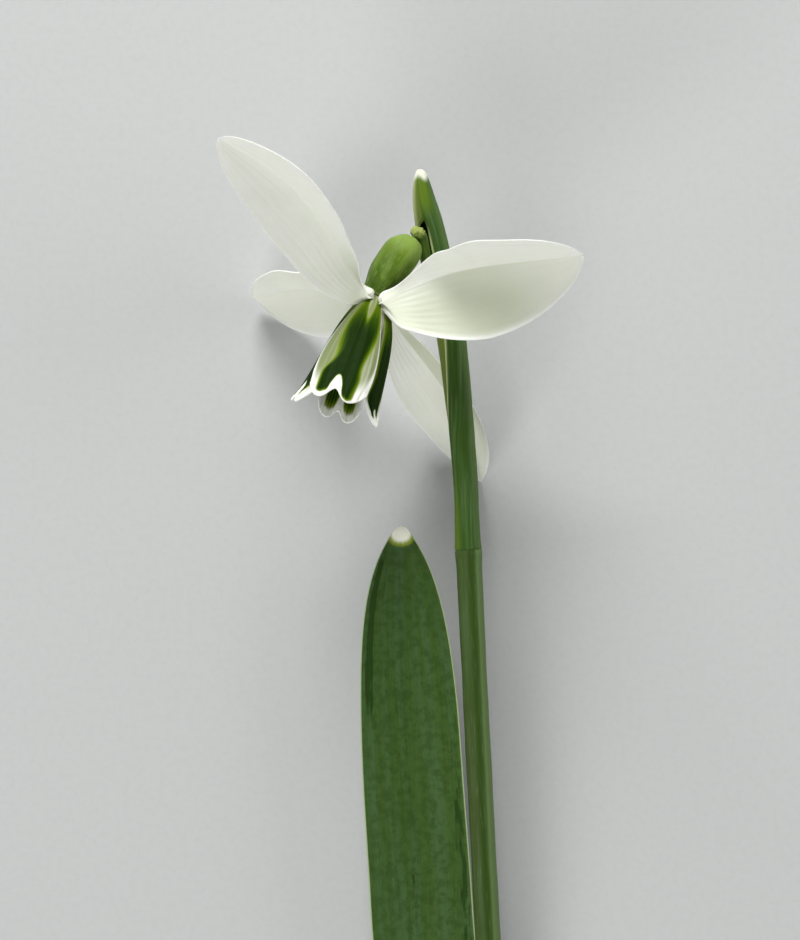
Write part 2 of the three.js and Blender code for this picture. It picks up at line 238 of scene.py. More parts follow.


# Waxy green skin of the seed pod and its stalk: a pale bloom lies over deeper yellow-green in fine
# lengthwise flecks, so highlights are broad and milky. On the pod a painted highlight lightens its
# top and painted shade darkens it towards the tepals.
skin = {"deep": "2f4c00", "mid": "5b7612", "bloom": "90ab54", "fleck": "7e9a40", "pale": "a2b060"}


def skinMaterial(name):
    material, node = newMaterial(name)
    along, pale = (node("ShaderNodeAttribute", attribute_name=key).outputs["Fac"] for key in ("along", "pale"))
    flecks = streaks(node, 52.0, 9.0, 5.0)
    # Darker towards the far end: on the seed pod this is painted shade towards the tepals, on the pedicel the
    # stalk's own deeper green.
    base = over(node, skin["mid"], skin["deep"], along, 0.2, 0.9, 0.95)
    base = over(node, base, skin["bloom"], streaks(node, 4.0, 1.4, 2.0), 0.4, 0.68, 0.3)
    # Painted highlight: the paler bloom colour over the near end of each piece, the top of the seed pod.
    base = over(node, base, skin["bloom"], along, 0.4, 0.1, 0.6)
    base = over(node, base, skin["fleck"], flecks, 0.5, 0.7, 0.5)
    base = over(node, base, skin["deep"], streaks(node, 36.0, 3.0, 8.0), 0.56, 0.74, 0.4)
    base = over(node, base, skin["pale"], pale)
    finish(
        node, base, flecks, 0.05, (0.4, 0.55), Subsurface_Weight=0.12, Subsurface_Radius=(0.8, 1.0, 0.2),
        Subsurface_Scale=0.0006, Specular_IOR_Level=0.2,
    )
    return material


# Stem: grey wax bloom over green in long streaks between faint ribs, with painted shade as a
# dark olive stripe down its middle and a painted highlight as a lighter band on its right side.
stem = {
    "green": "3a4f21", "olive": "294307", "bloom": "4e6441", "rust": "454924",
    "pale": "657b4b", "light": "5b7441", "pith": "dfe8b8",
}


def stemMaterial(name):
    material, node = newMaterial(name)
    along, shadeStripe, light = (
        node("ShaderNodeAttribute", attribute_name=key).outputs["Fac"] for key in ("along", "shadeStripe", "light")
    )
    fine = streaks(node, 22.0, 30.0, 6.0)
    base = over(node, stem["green"], stem["rust"], streaks(node, 3.0, 3.0, 9.0), 0.42, 0.66, 0.3)
    base = over(node, base, stem["bloom"], streaks(node, 9.0, 9.0, 4.0, 5.0), 0.42, 0.66, 0.45)
    # Painted highlight: a lighter band down the right side. Painted shade: a dark olive stripe down the middle.
    base = over(node, base, stem["light"], light)
    base = over(node, base, stem["olive"], shadeStripe)
    base = over(node, base, stem["pale"], fine, 0.54, 0.74, 0.3)
    base = over(node, base, stem["pith"], along, 0.06, -0.02, 0.8)
    finish(
        node, base, fine, 0.05, (0.42, 0.6), Subsurface_Weight=0.08, Subsurface_Radius=(0.7, 1.0, 0.2),
        Subsurface_Scale=0.0006, Specular_IOR_Level=0.15,
    )
    return material


# Cut end of the stem: wet pale pith with darker bundles of fibres.
def pithMaterial(name):
    material, node = newMaterial(name)
    place = node("ShaderNodeTexCoord").outputs["Object"]
    cells = node("ShaderNodeTexVoronoi", {"Vector": place, "Scale": 2600.0}, feature="F1").outputs["Distance"]
    base = over(node, "e6ecc0", "8fa653", cells, 0.32, 0.14)
    finish(node, base, cells, 0.08, (0.3, 0.42), Subsurface_Weight=0.3, Subsurface_Radius=(0.8, 1.0, 0.4))
    return material


# Bract: firm green valves with a bluish bloom, yellow-green where the tissue thins beside the
# seam, with white papery margins and tip, and a painted highlight along its right side.
bract = {
    "valve": "375420", "deep": "2b440b", "bloom": "637d56", "light": "557037",
    "thin": "626f2d", "fresh": "566f14", "paper": "b4bf88", "tip": "eceedd",
}


def bractMaterial(name):
    material, node = newMaterial(name)
    base = over(node, bract["valve"], bract["deep"], streaks(node, 14.0, 1.6, 8.0), 0.4, 0.64, 0.9)
    base = over(node, base, bract["bloom"], streaks(node, 34.0, 5.0, 2.5, 5.0), 0.46, 0.74, 0.35)
    # The light share is a painted highlight along the right side; the others are the bract's own colours.
    for key in ("light", "fresh", "thin", "paper", "tip"):
        place = node("ShaderNodeAttribute", attribute_name=key).outputs["Fac"]
        base = over(node, base, bract[key], place, most=0.9)
    finish(
        node, base, streaks(node, 60.0, 10.0, 2.5), 0.05, (0.42, 0.58), Subsurface_Weight=0.15,
        Subsurface_Radius=(0.8, 1.0, 0.2), Subsurface_Scale=0.0006, Specular_IOR_Level=0.15,
    )
    return material


# Leaf: dark green under a thin bluish wax that is rubbed off in patches near the margin, with
# fine lengthwise veins, a thin pale rim and a cream hood on the tip.
strap = {
    "deep": "2a4511", "mid": "385421", "warm": "405c18", "wax": "456240", "light": "547240",
    "rubbed": "1b3603", "rim": "a9ba90", "cream": "fbfaec", "creamEdge": "899b32",
}


def leafMaterial(name):
    material, node = newMaterial(name)
    rubbed, rim, hood = (
        node("ShaderNodeAttribute", attribute_name=key).outputs["Fac"] for key in ("rubbed", "rim", "hood")
    )
    veins = streaks(node, 55.0, 5.0, 4.5)
    pores = streaks(node, 90.0, 22.0, 2.2, 4.0)
    base = over(node, strap["mid"], strap["warm"], streaks(node, 2.6, 0.5, 1.5, 1.0), 0.4, 0.66, 0.6)
    base = over(node, base, strap["wax"], streaks(node, 7.0, 3.0, 6.5, 5.0), 0.4, 0.62, 0.5)
    base = over(node, base, strap["deep"], grain(node, 1.0, 6.0), 0.42, 0.62, 0.6)
    base = over(node, base, strap["deep"], veins, 0.5, 0.7, 0.25)
    base = over(node, base, strap["light"], pores, 0.54, 0.76, 0.35)
    worn = node("ShaderNodeMath", (rubbed, streaks(node, 24.0, 26.0, 11.0, 6.0)), operation="ADD")
    base = over(node, base, strap["rubbed"], worn, 1.02, 1.2, 0.85)
    base = over(node, base, strap["rim"], rim, most=0.85)
    frayed = node("ShaderNodeMath", (veins, 0.3, hood), operation="MULTIPLY_ADD")
    base = over(node, base, strap["creamEdge"], frayed, 0.35, 0.62)
    base = over(node, base, strap["cream"], frayed, 0.6, 0.95)
    finish(
        node, base, node("ShaderNodeMath", (pores, grain(node, 0.35)), operation="ADD"), 0.06, (0.4, 0.56),
        Subsurface_Weight=0.06, Subsurface_Radius=(0.5, 1.0, 0.2), Subsurface_Scale=0.0005,
        Specular_IOR_Level=0.18,
    )
    return material


# Basal sheath: a thin papery tube, cream with green veins, brown at its torn edge.
husk = {"cream": "e5e4c6", "vein": "a6ba74", "brown": "b3925e"}


def huskMaterial(name):
    material, node = newMaterial(name)
    along = node("ShaderNodeAttribute", attribute_name="along").outputs["Fac"]
    veins = streaks(node, 44.0, 1.2, 2.2)
    base = over(node, husk["cream"], husk["vein"], veins, 0.46, 0.66, 0.7)
    base = over(node, base, husk["brown"], along, 0.86, 1.0, 0.7)
    finish(
        node, base, veins, 0.1, (0.5, 0.62), Subsurface_Weight=0.25, Subsurface_Radius=(1.0, 0.9, 0.6),
        Subsurface_Scale=0.0007,
    )
    return material


# Pollen sacs: matt orange-yellow grains. Filaments: smooth greenish white threads.
def threadMaterial(name, light, dark, size):
    material, node = newMaterial(name)
    spots = grain(node, size, 3.0)
    finish(
        node, over(node, light, dark, spots, 0.4, 0.66), spots, 0.05, (0.55, 0.7), Subsurface_Weight=0.2,
        Subsurface_Radius=(1.0, 0.7, 0.3), Subsurface_Scale=0.0005,
    )
    return material


whitePetal = petalMaterial("fresh petal, white", False)
markedPetal = petalMaterial("fresh petal, white with green marks", True)
waxySkin = skinMaterial("waxy green skin")
waxyStem = stemMaterial("stem skin with wax bloom")
cutPith = pithMaterial("cut pith")
greenBract = bractMaterial("green bract with papery margins")
strapLeaf = leafMaterial("leathery leaf with wax bloom")
dryHusk = huskMaterial("papery husk")
pollenSac = threadMaterial("pollen sacs", "e29a30", "b4661a", 0.25)
filamentSkin = threadMaterial("filament skin", "eaf0d2", "cfdcab", 0.5)
print("materials made")


def addPiece(name, mesh, replaced):
    piece = bpy.data.objects.new(name, mesh)
    bpy.context.scene.collection.objects.link(piece)
    mesh.shade_smooth()
    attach(piece, "root")
    if replaced:
        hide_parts(*replaced)
    print(name, len(mesh.polygons), "faces")
    return piece


def setPlaces(mesh, places):
    corners = np.zeros(len(mesh.loops), np.int32)
    mesh.loops.foreach_get("vertex_index", corners)
    layer = mesh.uv_layers.new(name="blade")
    layer.data.foreach_set("uv", np.asarray(places, np.float32)[corners].ravel())


def setValues(mesh, values):
    for key, given in values.items():
        layer = mesh.attributes.new(key, "FLOAT", "POINT")
        layer.data.foreach_set("value", np.asarray(given, np.float32).ravel())


def bezier(points):
    a, b, c, d = (np.asarray(p, float) for p in points)

    def at(t):
        t = np.asarray(t, float)[..., None]
        return (1 - t) ** 3 * a + 3 * (1 - t) ** 2 * t * b + 3 * (1 - t) * t ** 2 * c + t ** 3 * d

    return at


# A smooth line through points, read by the share of its length. It goes on straight past its ends.
def throughPoints(points, samples=1200):
    knots = np.asarray(points, float)
    padded = np.vstack([2 * knots[0] - knots[1], knots, 2 * knots[-1] - knots[-2]])
    t = np.linspace(0, len(knots) - 1, samples)
    i = np.minimum(t.astype(int), len(knots) - 2)
    f = (t - i)[:, None]
    p0, p1, p2, p3 = (padded[i + k] for k in range(4))
    line = 0.5 * (
        2 * p1 + (p2 - p0) * f + (2 * p0 - 5 * p1 + 4 * p2 - p3) * f ** 2 + (3 * p1 - p0 - 3 * p2 + p3) * f ** 3
    )
    run = np.concatenate([[0], np.cumsum(np.linalg.norm(np.diff(line, axis=0), axis=1))])
    endWay = unit(line[-1] - line[-2])
    startWay = unit(line[1] - line[0])

    def at(share):
        want = np.asarray(share, float) * run[-1]
        inside = np.stack([np.interp(want, run, line[:, k]) for k in range(3)], -1)
        past = np.maximum(want - run[-1], 0)[..., None] * endWay
        return inside + past + np.minimum(want, 0)[..., None] * startWay

    return at, run[-1]


# A line of few points, read at any place and rounded a little at its corners.
def curveThrough(points, value, soft=0.03):
    places, heights = zip(*points)
    return sum(np.interp(value + shift * soft, places, heights) for shift in (-1, -0.5, 0, 0.5, 1)) / 5


# A thin leaf-like solid round a grid of points, with a rounded rim. The two reliefs raise the
# face on the side of the grid's normals and the one on the other side.
def sheetMesh(name, grid, thickness, reliefs, places, material, values):
    rows, columns = grid.shape[:2]
    normals = unit(np.cross(np.gradient(grid, axis=0), np.gradient(grid, axis=1)) + 1e-12)
    faceA = grid + normals * (thickness / 2 + reliefs[0])[..., None]
    faceB = grid - normals * (thickness / 2 + reliefs[1])[..., None]
    count = rows * columns
    at = np.arange(count).reshape(rows, columns)
    quads = np.stack([at[:-1, :-1], at[1:, :-1], at[1:, 1:], at[:-1, 1:]], -1).reshape(-1, 4)
    loop = np.concatenate([at[:-1, 0], at[-1, :-1], at[:0:-1, -1], at[0, :0:-1]])
    flat = grid.reshape(-1, 3)
    beside = np.roll(flat[loop], -1, 0) - np.roll(flat[loop], 1, 0)
    away = unit(np.cross(beside, normals.reshape(-1, 3)[loop]) + 1e-12)
    middle = (faceA.reshape(-1, 3)[loop] + faceB.reshape(-1, 3)[loop]) / 2
    rim = middle + away * thickness.reshape(-1)[loop][:, None] / 3
    first = 2 * count + np.arange(len(loop))
    second = np.roll(first, -1)
    follow = np.roll(loop, -1)
    faces = np.vstack([
        quads, quads[:, ::-1] + count, np.stack([follow, loop, first, second], -1),
        np.stack([second, first, loop + count, follow + count], -1),
    ])
    mesh = bpy.data.meshes.new(name)
    points = np.vstack([faceA.reshape(-1, 3), faceB.reshape(-1, 3), rim])
    mesh.from_pydata(onGround(points).tolist(), [], faces.tolist())
    uv = places.reshape(-1, 2)
    setPlaces(mesh, np.vstack([uv, uv, uv[loop]]))
    for key, given in values.items():
        sideA, sideB = (g.reshape(-1) for g in (given if isinstance(given, tuple) else (given, given)))
        setValues(mesh, {key: np.concatenate([sideA, sideB, (sideA[loop] + sideB[loop]) / 2])})
    mesh.materials.append(material)
    mesh.update()
    return mesh


# Points of a blade: a middle line, the way its inner face looks, and for each place a half width
# and the angle at which the surface climbs, added up outwards from the middle line.
def bladeGrid(path, facing, halfWidth, angleAt, t, u):
    step = 1e-4
    ahead = unit(path(t + step) - path(t - step))
    toward = facing(t)
    toward = unit(toward - ahead * np.sum(toward * ahead, -1, keepdims=True))
    side = np.cross(ahead, toward)
    parts = (np.arange(6) + 0.5) / 6
    across = np.zeros(t.shape)
    lift = np.zeros(t.shape)
    middle = u.shape[1] // 2
    for way in (1, -1):
        for k in range(1, middle + 1):
            j = middle + way * k
            before = j - way
            low, high = np.abs(u[:, before]), np.abs(u[:, j])
            spread = low[:, None] + (high - low)[:, None] * parts
            angle = np.radians(angleAt(t[:, j][:, None], spread, way))
            across[:, j] = across[:, before] + way * (high - low) * np.cos(angle).mean(1)
            lift[:, j] = lift[:, before] + (high - low) * np.sin(angle).mean(1)
    width = halfWidth(t, u)
    return path(t) + side * (across * width)[..., None] + toward * (lift * width)[..., None]


def bladePlaces(rows, columns):
    i, j = np.meshgrid(np.arange(rows + 1) / rows, np.arange(columns + 1) / columns, indexing="ij")
    return i, 2 * j - 1


# Outer tepals: broad white spoons on a narrow claw, each folded along its middle. Each pair of
# values is for the left and the right flank, seen from the claw on the inner face. The heel is
# the rounded end of the claw. The crease is how far into the flat flank the fold runs, near the
# claw and at the tip. Trims scale a flank's width along its length. The painted-shade levels give
# how much shade is painted into the colour along the outer part of the flat flank, its inner
# part and the folded flank, standing in for the shading across the crease.
untrimmed = ((0, 1), (1, 1))
outerTepals = {
    "outer_tepal_right": {
        "heel": (-2.35, 19.95, 1.95), "route": ((8.3, 25.1, 3.2), (11.4, 24.3, 8.5), (21.4, 25.2, 13)),
        "faces": ((-0.4, -0.25, 0.88), (-0.31, -0.51, 0.81)), "halfWidths": (7.3, 8.7),
        "outlines": ((1.2, 0.4), (0.51, 0.61)), "fold": 52, "foldedFlank": -1, "curls": (-15, 22),
        "crease": (0, 0.02), "seed": 1.0,
        "paintedShade": (
            ((0, 0.4), (0.12, 1), (0.5, 1), (0.8, 0.5), (1, 0.2)),
            ((0, 0.1), (0.12, 0.5), (0.35, 0.75), (0.6, 0.6), (1, 0.3)), ((0, 0), (1, 0)),
        ),
        "claws": (0.08, 0.08),
        "trims": (((0, 1), (0.1, 0.88), (0.2, 0.95), (0.33, 1.03), (0.5, 1)), untrimmed),
    },
    "outer_tepal_upper_left": {
        "heel": (-3.5, 20.9, 2.25), "route": ((-7.8, 25.4, 3.5), (-8.4, 33.2, 8.5), (-21.2, 38.8, 12.5)),
        "faces": ((-0.19, -0.65, 0.73), (-0.1, -0.6, 0.79)), "halfWidths": (6.7, 6.8),
        "outlines": ((0.56, 0.49), (1.55, 0.36)), "fold": 45, "foldedFlank": 1, "curls": (22, -8),
        "crease": (0.12, 0.02), "seed": 2.0,
        "paintedShade": (
            ((0, 0.2), (0.2, 0.3), (0.5, 0.1), (1, 0)), ((0, 0.2), (0.12, 0.6), (0.3, 0.3), (0.55, 0), (1, 0)),
            ((0, 0.2), (0.12, 0.8), (0.3, 0.5), (0.5, 0), (1, 0)),
        ),
        "claws": (0.1, 0.02),
        "trims": (
            untrimmed, ((0, 0.2), (0.06, 0.18), (0.1, 0.34), (0.15, 0.72), (0.21, 1), (0.4, 1.05), (0.6, 1)),
        ),
    },
    "outer_tepal_lower_left": {
        "heel": seat(236, flower["outerSeat"], 0.15),
        "route": ((-8, 21.5, -7.6), (-9.6, 24.1, -15), (-18, 21.4, -20)),
        "faces": ((-0.71, -0.52, 0.47), (-0.48, -0.83, 0.29)), "halfWidths": (7.6, 6.7),
        "outlines": ((1.43, 0.49), (0.92, 0.58)), "fold": 22, "foldedFlank": 1, "curls": (26, 12),
        "crease": (0.5, 0), "seed": 3.0,
        "paintedShade": (
            ((0, 0.8), (0.5, 0.6), (1, 0.4)), ((0, 0.6), (0.5, 0.5), (1, 0.3)), ((0, 0.6), (0.5, 0.4), (1, 0)),
        ),
        "claws": (0.13, 0.13),
        "trims": (untrimmed, untrimmed),
    },
    "outer_tepal_lower_right": {
        "heel": seat(323, flower["outerSeat"], 0.15),
        "route": ((2.9, 11.7, -8.9), (7.8, 10.4, -15.3), (10.1, -1.4, -19.6)),
        "faces": ((0, -0.63, 0.77), (-0.42, -0.71, 0.57)), "halfWidths": (7, 5.9),
        "outlines": ((1.8, 0.85), (0.95, 0.65)), "fold": 45, "foldedFlank": -1, "curls": (-10, 22),
        "crease": (0, 0), "seed": 4.0,
        "paintedShade": (
            ((0, 0), (0.3, 0), (0.6, 0.3), (1, 0.3)), ((0, 0), (0.3, 0.15), (0.6, 0.5), (1, 0.4)),
            ((0, 0.2), (0.2, 1), (0.5, 1), (1, 0.4)),
        ),
        "claws": (0.13, 0.13),
        "trims": (untrimmed, untrimmed),
    },
}
outerForm = {
    "knob": 0.5, "knobShare": 0.045, "clawCurl": 32, "foldStart": 0.1, "foldFull": 0.45, "foldSoft": 0.08,
    "rows": 124, "columns": 100, "spacing": 0.08, "thickness": 0.34, "rimThickness": 0.14,
    "clawThickness": 1.7, "clawShare": 0.06, "furrows": 15, "furrowDepth": 0.017, "rimRoll": 12, "waviness": 2.5,
    "heelLength": 0.035,
}


def outerOutline(t, rise, fall, claw):
    widest = rise / (rise + fall)
    inside = np.clip(t, 1e-6, 1 - 1e-6)
    body = inside ** rise * (1 - inside) ** fall / (widest ** rise * (1 - widest) ** fall)
    return np.maximum(body + (1 - body) * claw * (1 - t) ** 4, 0.04)


def outerTepal(name, given):
    form = outerForm
    path = bezier((given["heel"], *given["route"]))
    faceAtClaw, faceAtTip = (np.array(f, float) for f in given["faces"])

    def halfWidth(t, u):
        knob = form["knob"] * np.exp(-((t / form["knobShare"]) ** 2))
        left, right = (
            width * outerOutline(t, *outline, claw) * curveThrough(trim, t, 0.02) + knob
            for width, outline, claw, trim in zip(
                given["halfWidths"], given["outlines"], given["claws"], given["trims"],
            )
        )
        heel = np.sqrt(np.clip(1 - (1 - np.clip(t / form["heelLength"], 0, 1)) ** 2, 0.02, 1))
        return np.where(u > 0, right, left) * heel

    def angleAt(t, s, way):
        folded = ease(form["foldStart"], form["foldFull"], t)
        soft = mix(0.5, form["foldSoft"], ease(0.15, 0.5, t))
        raised = given["foldedFlank"] * way  # 1 on the folded flank, -1 on the flat one
        crease = mix(*given["crease"], ease(0.2, 0.8, t))
        fold = raised * given["fold"] * folded * ease(-soft / 2, soft / 2, raised * s + crease)
        curl = mix(form["clawCurl"], given["curls"][1 if way > 0 else 0], folded) * s
        roll = form["rimRoll"] * ease(0.8, 1.0, s) * ease(0.1, 0.35, t)
        ripple = np.sin(9 * t + given["seed"] * 2.1 + way) + 0.7 * np.sin(19 * t + given["seed"] * 4.7 - way)
        return fold + curl + roll + ripple * form["waviness"] * ease(0.35, 1.0, s)

    i, u = bladePlaces(form["rows"], form["columns"])
    t = i - form["spacing"] * np.sin(2 * math.pi * i)  # closer together at both ends
    grid = bladeGrid(path, lambda t: mix(faceAtClaw, faceAtTip, t[..., None]), halfWidth, angleAt, t, u)
    thick = mix(form["thickness"], form["rimThickness"], ease(0.3, 1.0, np.abs(u)))
    thick = thick * (1 - 0.4 * ease(0.9, 1.0, t))
    atClaw = np.exp(-((t / form["clawShare"]) ** 2)) * (1 - 0.7 * u ** 2)
    thick = thick + (form["clawThickness"] - form["thickness"]) * atClaw
    bend = 1 + 0.04 * np.sin(5 * t + given["seed"])
    furrows = np.cos(math.pi * form["furrows"] * u * bend) * ease(0.03, 0.1, t) * (1 - 0.92 * ease(0.2, 0.55, t))
    furrows = form["furrowDepth"] * furrows * (1 - ease(0.88, 1.0, np.abs(u)))
    places = np.stack([0.5 + u / 2 + 0.004 * np.sin(7 * t + given["seed"]), t + given["seed"]], -1)
    # Painted shade: how much greyer colour each part gets, standing in for the shade on either side of the
    # crease, with less of it at the rim.
    beyond = given["foldedFlank"] * u + mix(*given["crease"], ease(0.2, 0.8, t))
    low, middle, flank = (curveThrough(points, t, 0.06) for points in given["paintedShade"])
    sharp = beyond / mix(0.14, 0.04, ease(0.3, 0.6, t))  # the crease is crisper towards the tip
    paintedShade = mix(mix(middle, low, ease(-0.05, -0.6, beyond)), flank, ease(-0.08, 1, sharp))
    paintedShade = paintedShade * (1 - 0.6 * ease(0.85, 1.0, np.abs(u)))
    values = {"across": np.maximum(np.abs(u), ease(0.9, 1, t) * t), "along": t, "paintedShade": paintedShade}
    mesh = sheetMesh(name, grid, thick, (furrows, -furrows), places, whitePetal, values)
    addPiece(name.replace("outer_tepal", "petal"), mesh, [name])


for tepalName, tepalGiven in outerTepals.items():
    outerTepal(tepalName, tepalGiven)

# Inner tepals: shorter, notched and fluted, standing round the mouth as a cup. Turns are degrees
# round the cup's axis at the claw and at the tip, and radii are measured from that axis.
# The green mark's edges are given as (share of the length, share of the half width).
frontEdges = {
    "left": ((0.03, 0.42), (0.3, 0.46), (0.42, 0.4), (0.62, 0.27), (0.69, 0.34), (0.76, 0.58), (0.95, 0.62)),
    "right": ((0.03, 0.98), (0.2, 0.94), (0.4, 0.77), (0.6, 0.55), (0.7, 0.5), (0.8, 0.57), (0.95, 0.54)),
}
sideEdges = {
    "left": ((0.03, 0.9), (0.3, 0.6), (0.6, 0.44), (0.72, 0.52), (0.84, 0.78), (0.95, 0.7)),
    "right": ((0.03, 0.9), (0.3, 0.9), (0.6, 0.84), (0.75, 0.7), (0.95, 0.2)),
}
innerTepals = {
    "inner_tepal_front": {
        "turns": (101, 100), "faceTurn": 103, "radii": (1.45, 4.35, 4.5, 4.5), "length": 15.3, "halfWidth": 3.95,
        "curl": 46, "tipShare": 0.93, "slope": -0.006, "edges": frontEdges,
        "wedge": 0.36, "flare": 0, "notch": 0.1,
    },
    "inner_tepal_left": {
        "turns": (177, 195), "faceTurn": 157, "radii": (1.45, 3.6, 3.3, 5.3), "length": 15.1, "halfWidth": 2.6,
        "curl": 38, "tipShare": 0.5, "slope": 0, "edges": sideEdges,
        "wedge": 0.06, "flare": 0.2, "notch": 0.08,
    },
    "inner_tepal_back": {
        "turns": (262, 274), "faceTurn": 274, "radii": (1.35, 4.3, 4.8, 4.6), "length": 14.5, "halfWidth": 2.7,
        "curl": 40, "tipShare": 1.1, "slope": -0.012, "edges": frontEdges,
        "wedge": 0.35, "flare": 0, "notch": 0.1,
    },
    "inner_tepal_right": {
        "turns": (9, 3), "faceTurn": 37, "radii": (1.45, 4.2, 3, 4.8), "length": 15.2, "halfWidth": 1.9,
        "curl": 32, "tipShare": 0.45, "slope": 0.02, "edges": sideEdges,
        "wedge": 0.06, "flare": 0.3, "notch": 0,
    },
}
innerForm = {
    "clawShare": 0.24, "openAt": 0.76, "notchWidth": 0.26, "lobeRounding": 0.13,
    "rows": 124, "columns": 84, "thickness": 0.42, "rimThickness": 0.24, "fluteDepth": 0.05, "flutes": 5,
}


# The green band on the outer face: a pale wedge runs down it from the claw, and a white tongue
# from the notch parts its end into two lobes.
def outerMark(v, u, given):
    edge = np.where(u > 0, curveThrough(given["edges"]["right"], v), curveThrough(given["edges"]["left"], v))
    soft = np.where(u > 0, mix(0.2, 0.12, ease(0.4, 0.7, v)), mix(0.24, 0.1, ease(0.5, 0.75, v)))
    inside = ease(-soft, soft, edge - np.abs(u))
    taper = 1 - v / given["wedge"]
    wedge = (1 - ease(-0.12, 0.1, np.abs(u - 0.24) - 0.34 * np.clip(taper, 0, 1))) * ease(-0.1, 0.45, taper)
    half = 0.19 * np.sqrt(np.clip((v - 0.862) / 0.06, 0, 1)) + 0.06 * ease(0.9, 1, v)
    tongue = (1 - ease(-0.05, 0.05, np.abs(u + 0.02) - half)) * ease(0.85, 0.88, v)
    end = 1 - ease(0.93, 0.975, v - 0.03 * ease(0, 0.3, u))
    depth = 0.5 + 0.5 * ease(0.08, 0.45, v)
    return np.clip(inside * (1 - wedge) * (1 - tongue) * end * depth * ease(0.0, 0.05, v), 0, 1)


# The inner face: the same field in green lines between white ribs, with a white border.
def innerLines(v, u):
    lines = 0.5 + 0.5 * np.cos(math.pi * 15 * u + 0.4)
    half = 0.05 + 0.13 * ease(0.72, 0.95, v)
    field = ease(0.0, 0.16, 0.78 - np.abs(u)) * (1 - ease(0.82, 0.97, v)) * ease(0.1, 0.3, v)
    return np.clip(field * ease(-0.04, 0.06, np.abs(u) - half) * (0.62 + 0.4 * lines), 0, 1)


def innerTepal(name, given):
    form = innerForm
    claw, low, high, tip = given["radii"]
    length = given["length"]
    first, last = given["turns"]
    path = bezier((
        seat(first, claw, 0.1), seat(mix(first, last, 0.3), low, length * 0.3),
        seat(mix(first, last, 0.7), high, length * 0.7), seat(last, tip, length),
    ))
    inward = receptacle - seat(given["faceTurn"], 1)

    def halfWidth(t, u):
        opened = mix(form["clawShare"], 1, np.sin(math.pi / 2 * np.minimum(t / form["openAt"], 1)))
        return given["halfWidth"] * opened * (1 - (1 - given["tipShare"]) * ease(0.72, 1.05, t))

    def angleAt(t, s, way):
        crimp = 10 * np.sin(38 * t + way) * ease(0.75, 1.0, s) * ease(0.8, 0.95, t)
        return given["curl"] * s - 12 * ease(0.8, 1.0, s) * ease(0.25, 0.6, t) + crimp

    i, u = bladePlaces(form["rows"], form["columns"])
    notch = given["notch"] * np.exp(-((u / form["notchWidth"]) ** 2))
    t = i * (1 - notch - form["lobeRounding"] * np.abs(u) ** 4 + given["slope"] * u)
    grid = bladeGrid(path, lambda t: np.broadcast_to(inward, t.shape + (3,)), halfWidth, angleAt, t, u)
    grid = grid - unit(inward) * (given["flare"] * ease(0.86, 1.0, i) ** 2)[..., None]
    nearRim = np.maximum(ease(0.6, 1.0, np.abs(u)), ease(0.93, 1.0, i))
    thick = mix(form["thickness"], form["rimThickness"], nearRim)
    fluted = ease(0.08, 0.3, i) * (1 - ease(0.9, 1.0, i))
    flute = form["fluteDepth"] * np.cos(math.pi * form["flutes"] * u) * fluted
    furrow = 0.05 * np.cos(math.pi * 11 * u) * ease(0.86, 0.95, i) * (1 - 0.5 * ease(0.97, 1.0, i))
    places = np.stack([0.5 + u / 2, t + first], -1)
    values = {
        "across": np.maximum(np.abs(u), i), "along": 0.12 + i, "mark": (outerMark(i, u, given), innerLines(i, u)),
        "end": 0.05 + 0.85 * ease(0.72, 0.97, i + 0.1 * ease(0.8, 1, np.abs(u))),
    }
    mesh = sheetMesh(name, grid, thick, (flute + furrow, furrow - flute), places, markedPetal, values)
    addPiece(name.replace("inner_tepal", "cup_petal"), mesh, [name])


for tepalName, tepalGiven in innerTepals.items():
    innerTepal(tepalName, tepalGiven)
print("tepals made")


def newTree(name, inputs):
    tree = bpy.data.node_groups.new(name, "GeometryNodeTree")
    for label, kind in inputs.items():
        tree.interface.new_socket(label, in_out="INPUT", socket_type="NodeSocket" + kind)
    tree.interface.new_socket("Geometry", in_out="OUTPUT", socket_type="NodeSocketGeometry")
    return tree, partial(addNode, tree)


# Runs a tree on an object and gives back the plain mesh that it makes.
def runTree(holder, tree, values):
    modifier = holder.modifiers.new("shape", "NODES")
    modifier.node_group = tree
    for item in tree.interface.items_tree:
        if item.in_out == "INPUT" and item.name in values:
            modifier[item.identifier] = values[item.name]
    bpy.context.view_layer.update()
    depsgraph = bpy.context.evaluated_depsgraph_get()
    mesh = bpy.data.meshes.new_from_object(holder.evaluated_get(depsgraph), depsgraph=depsgraph)
    holder.modifiers.remove(modifier)
    bpy.data.objects.remove(holder)
    return mesh


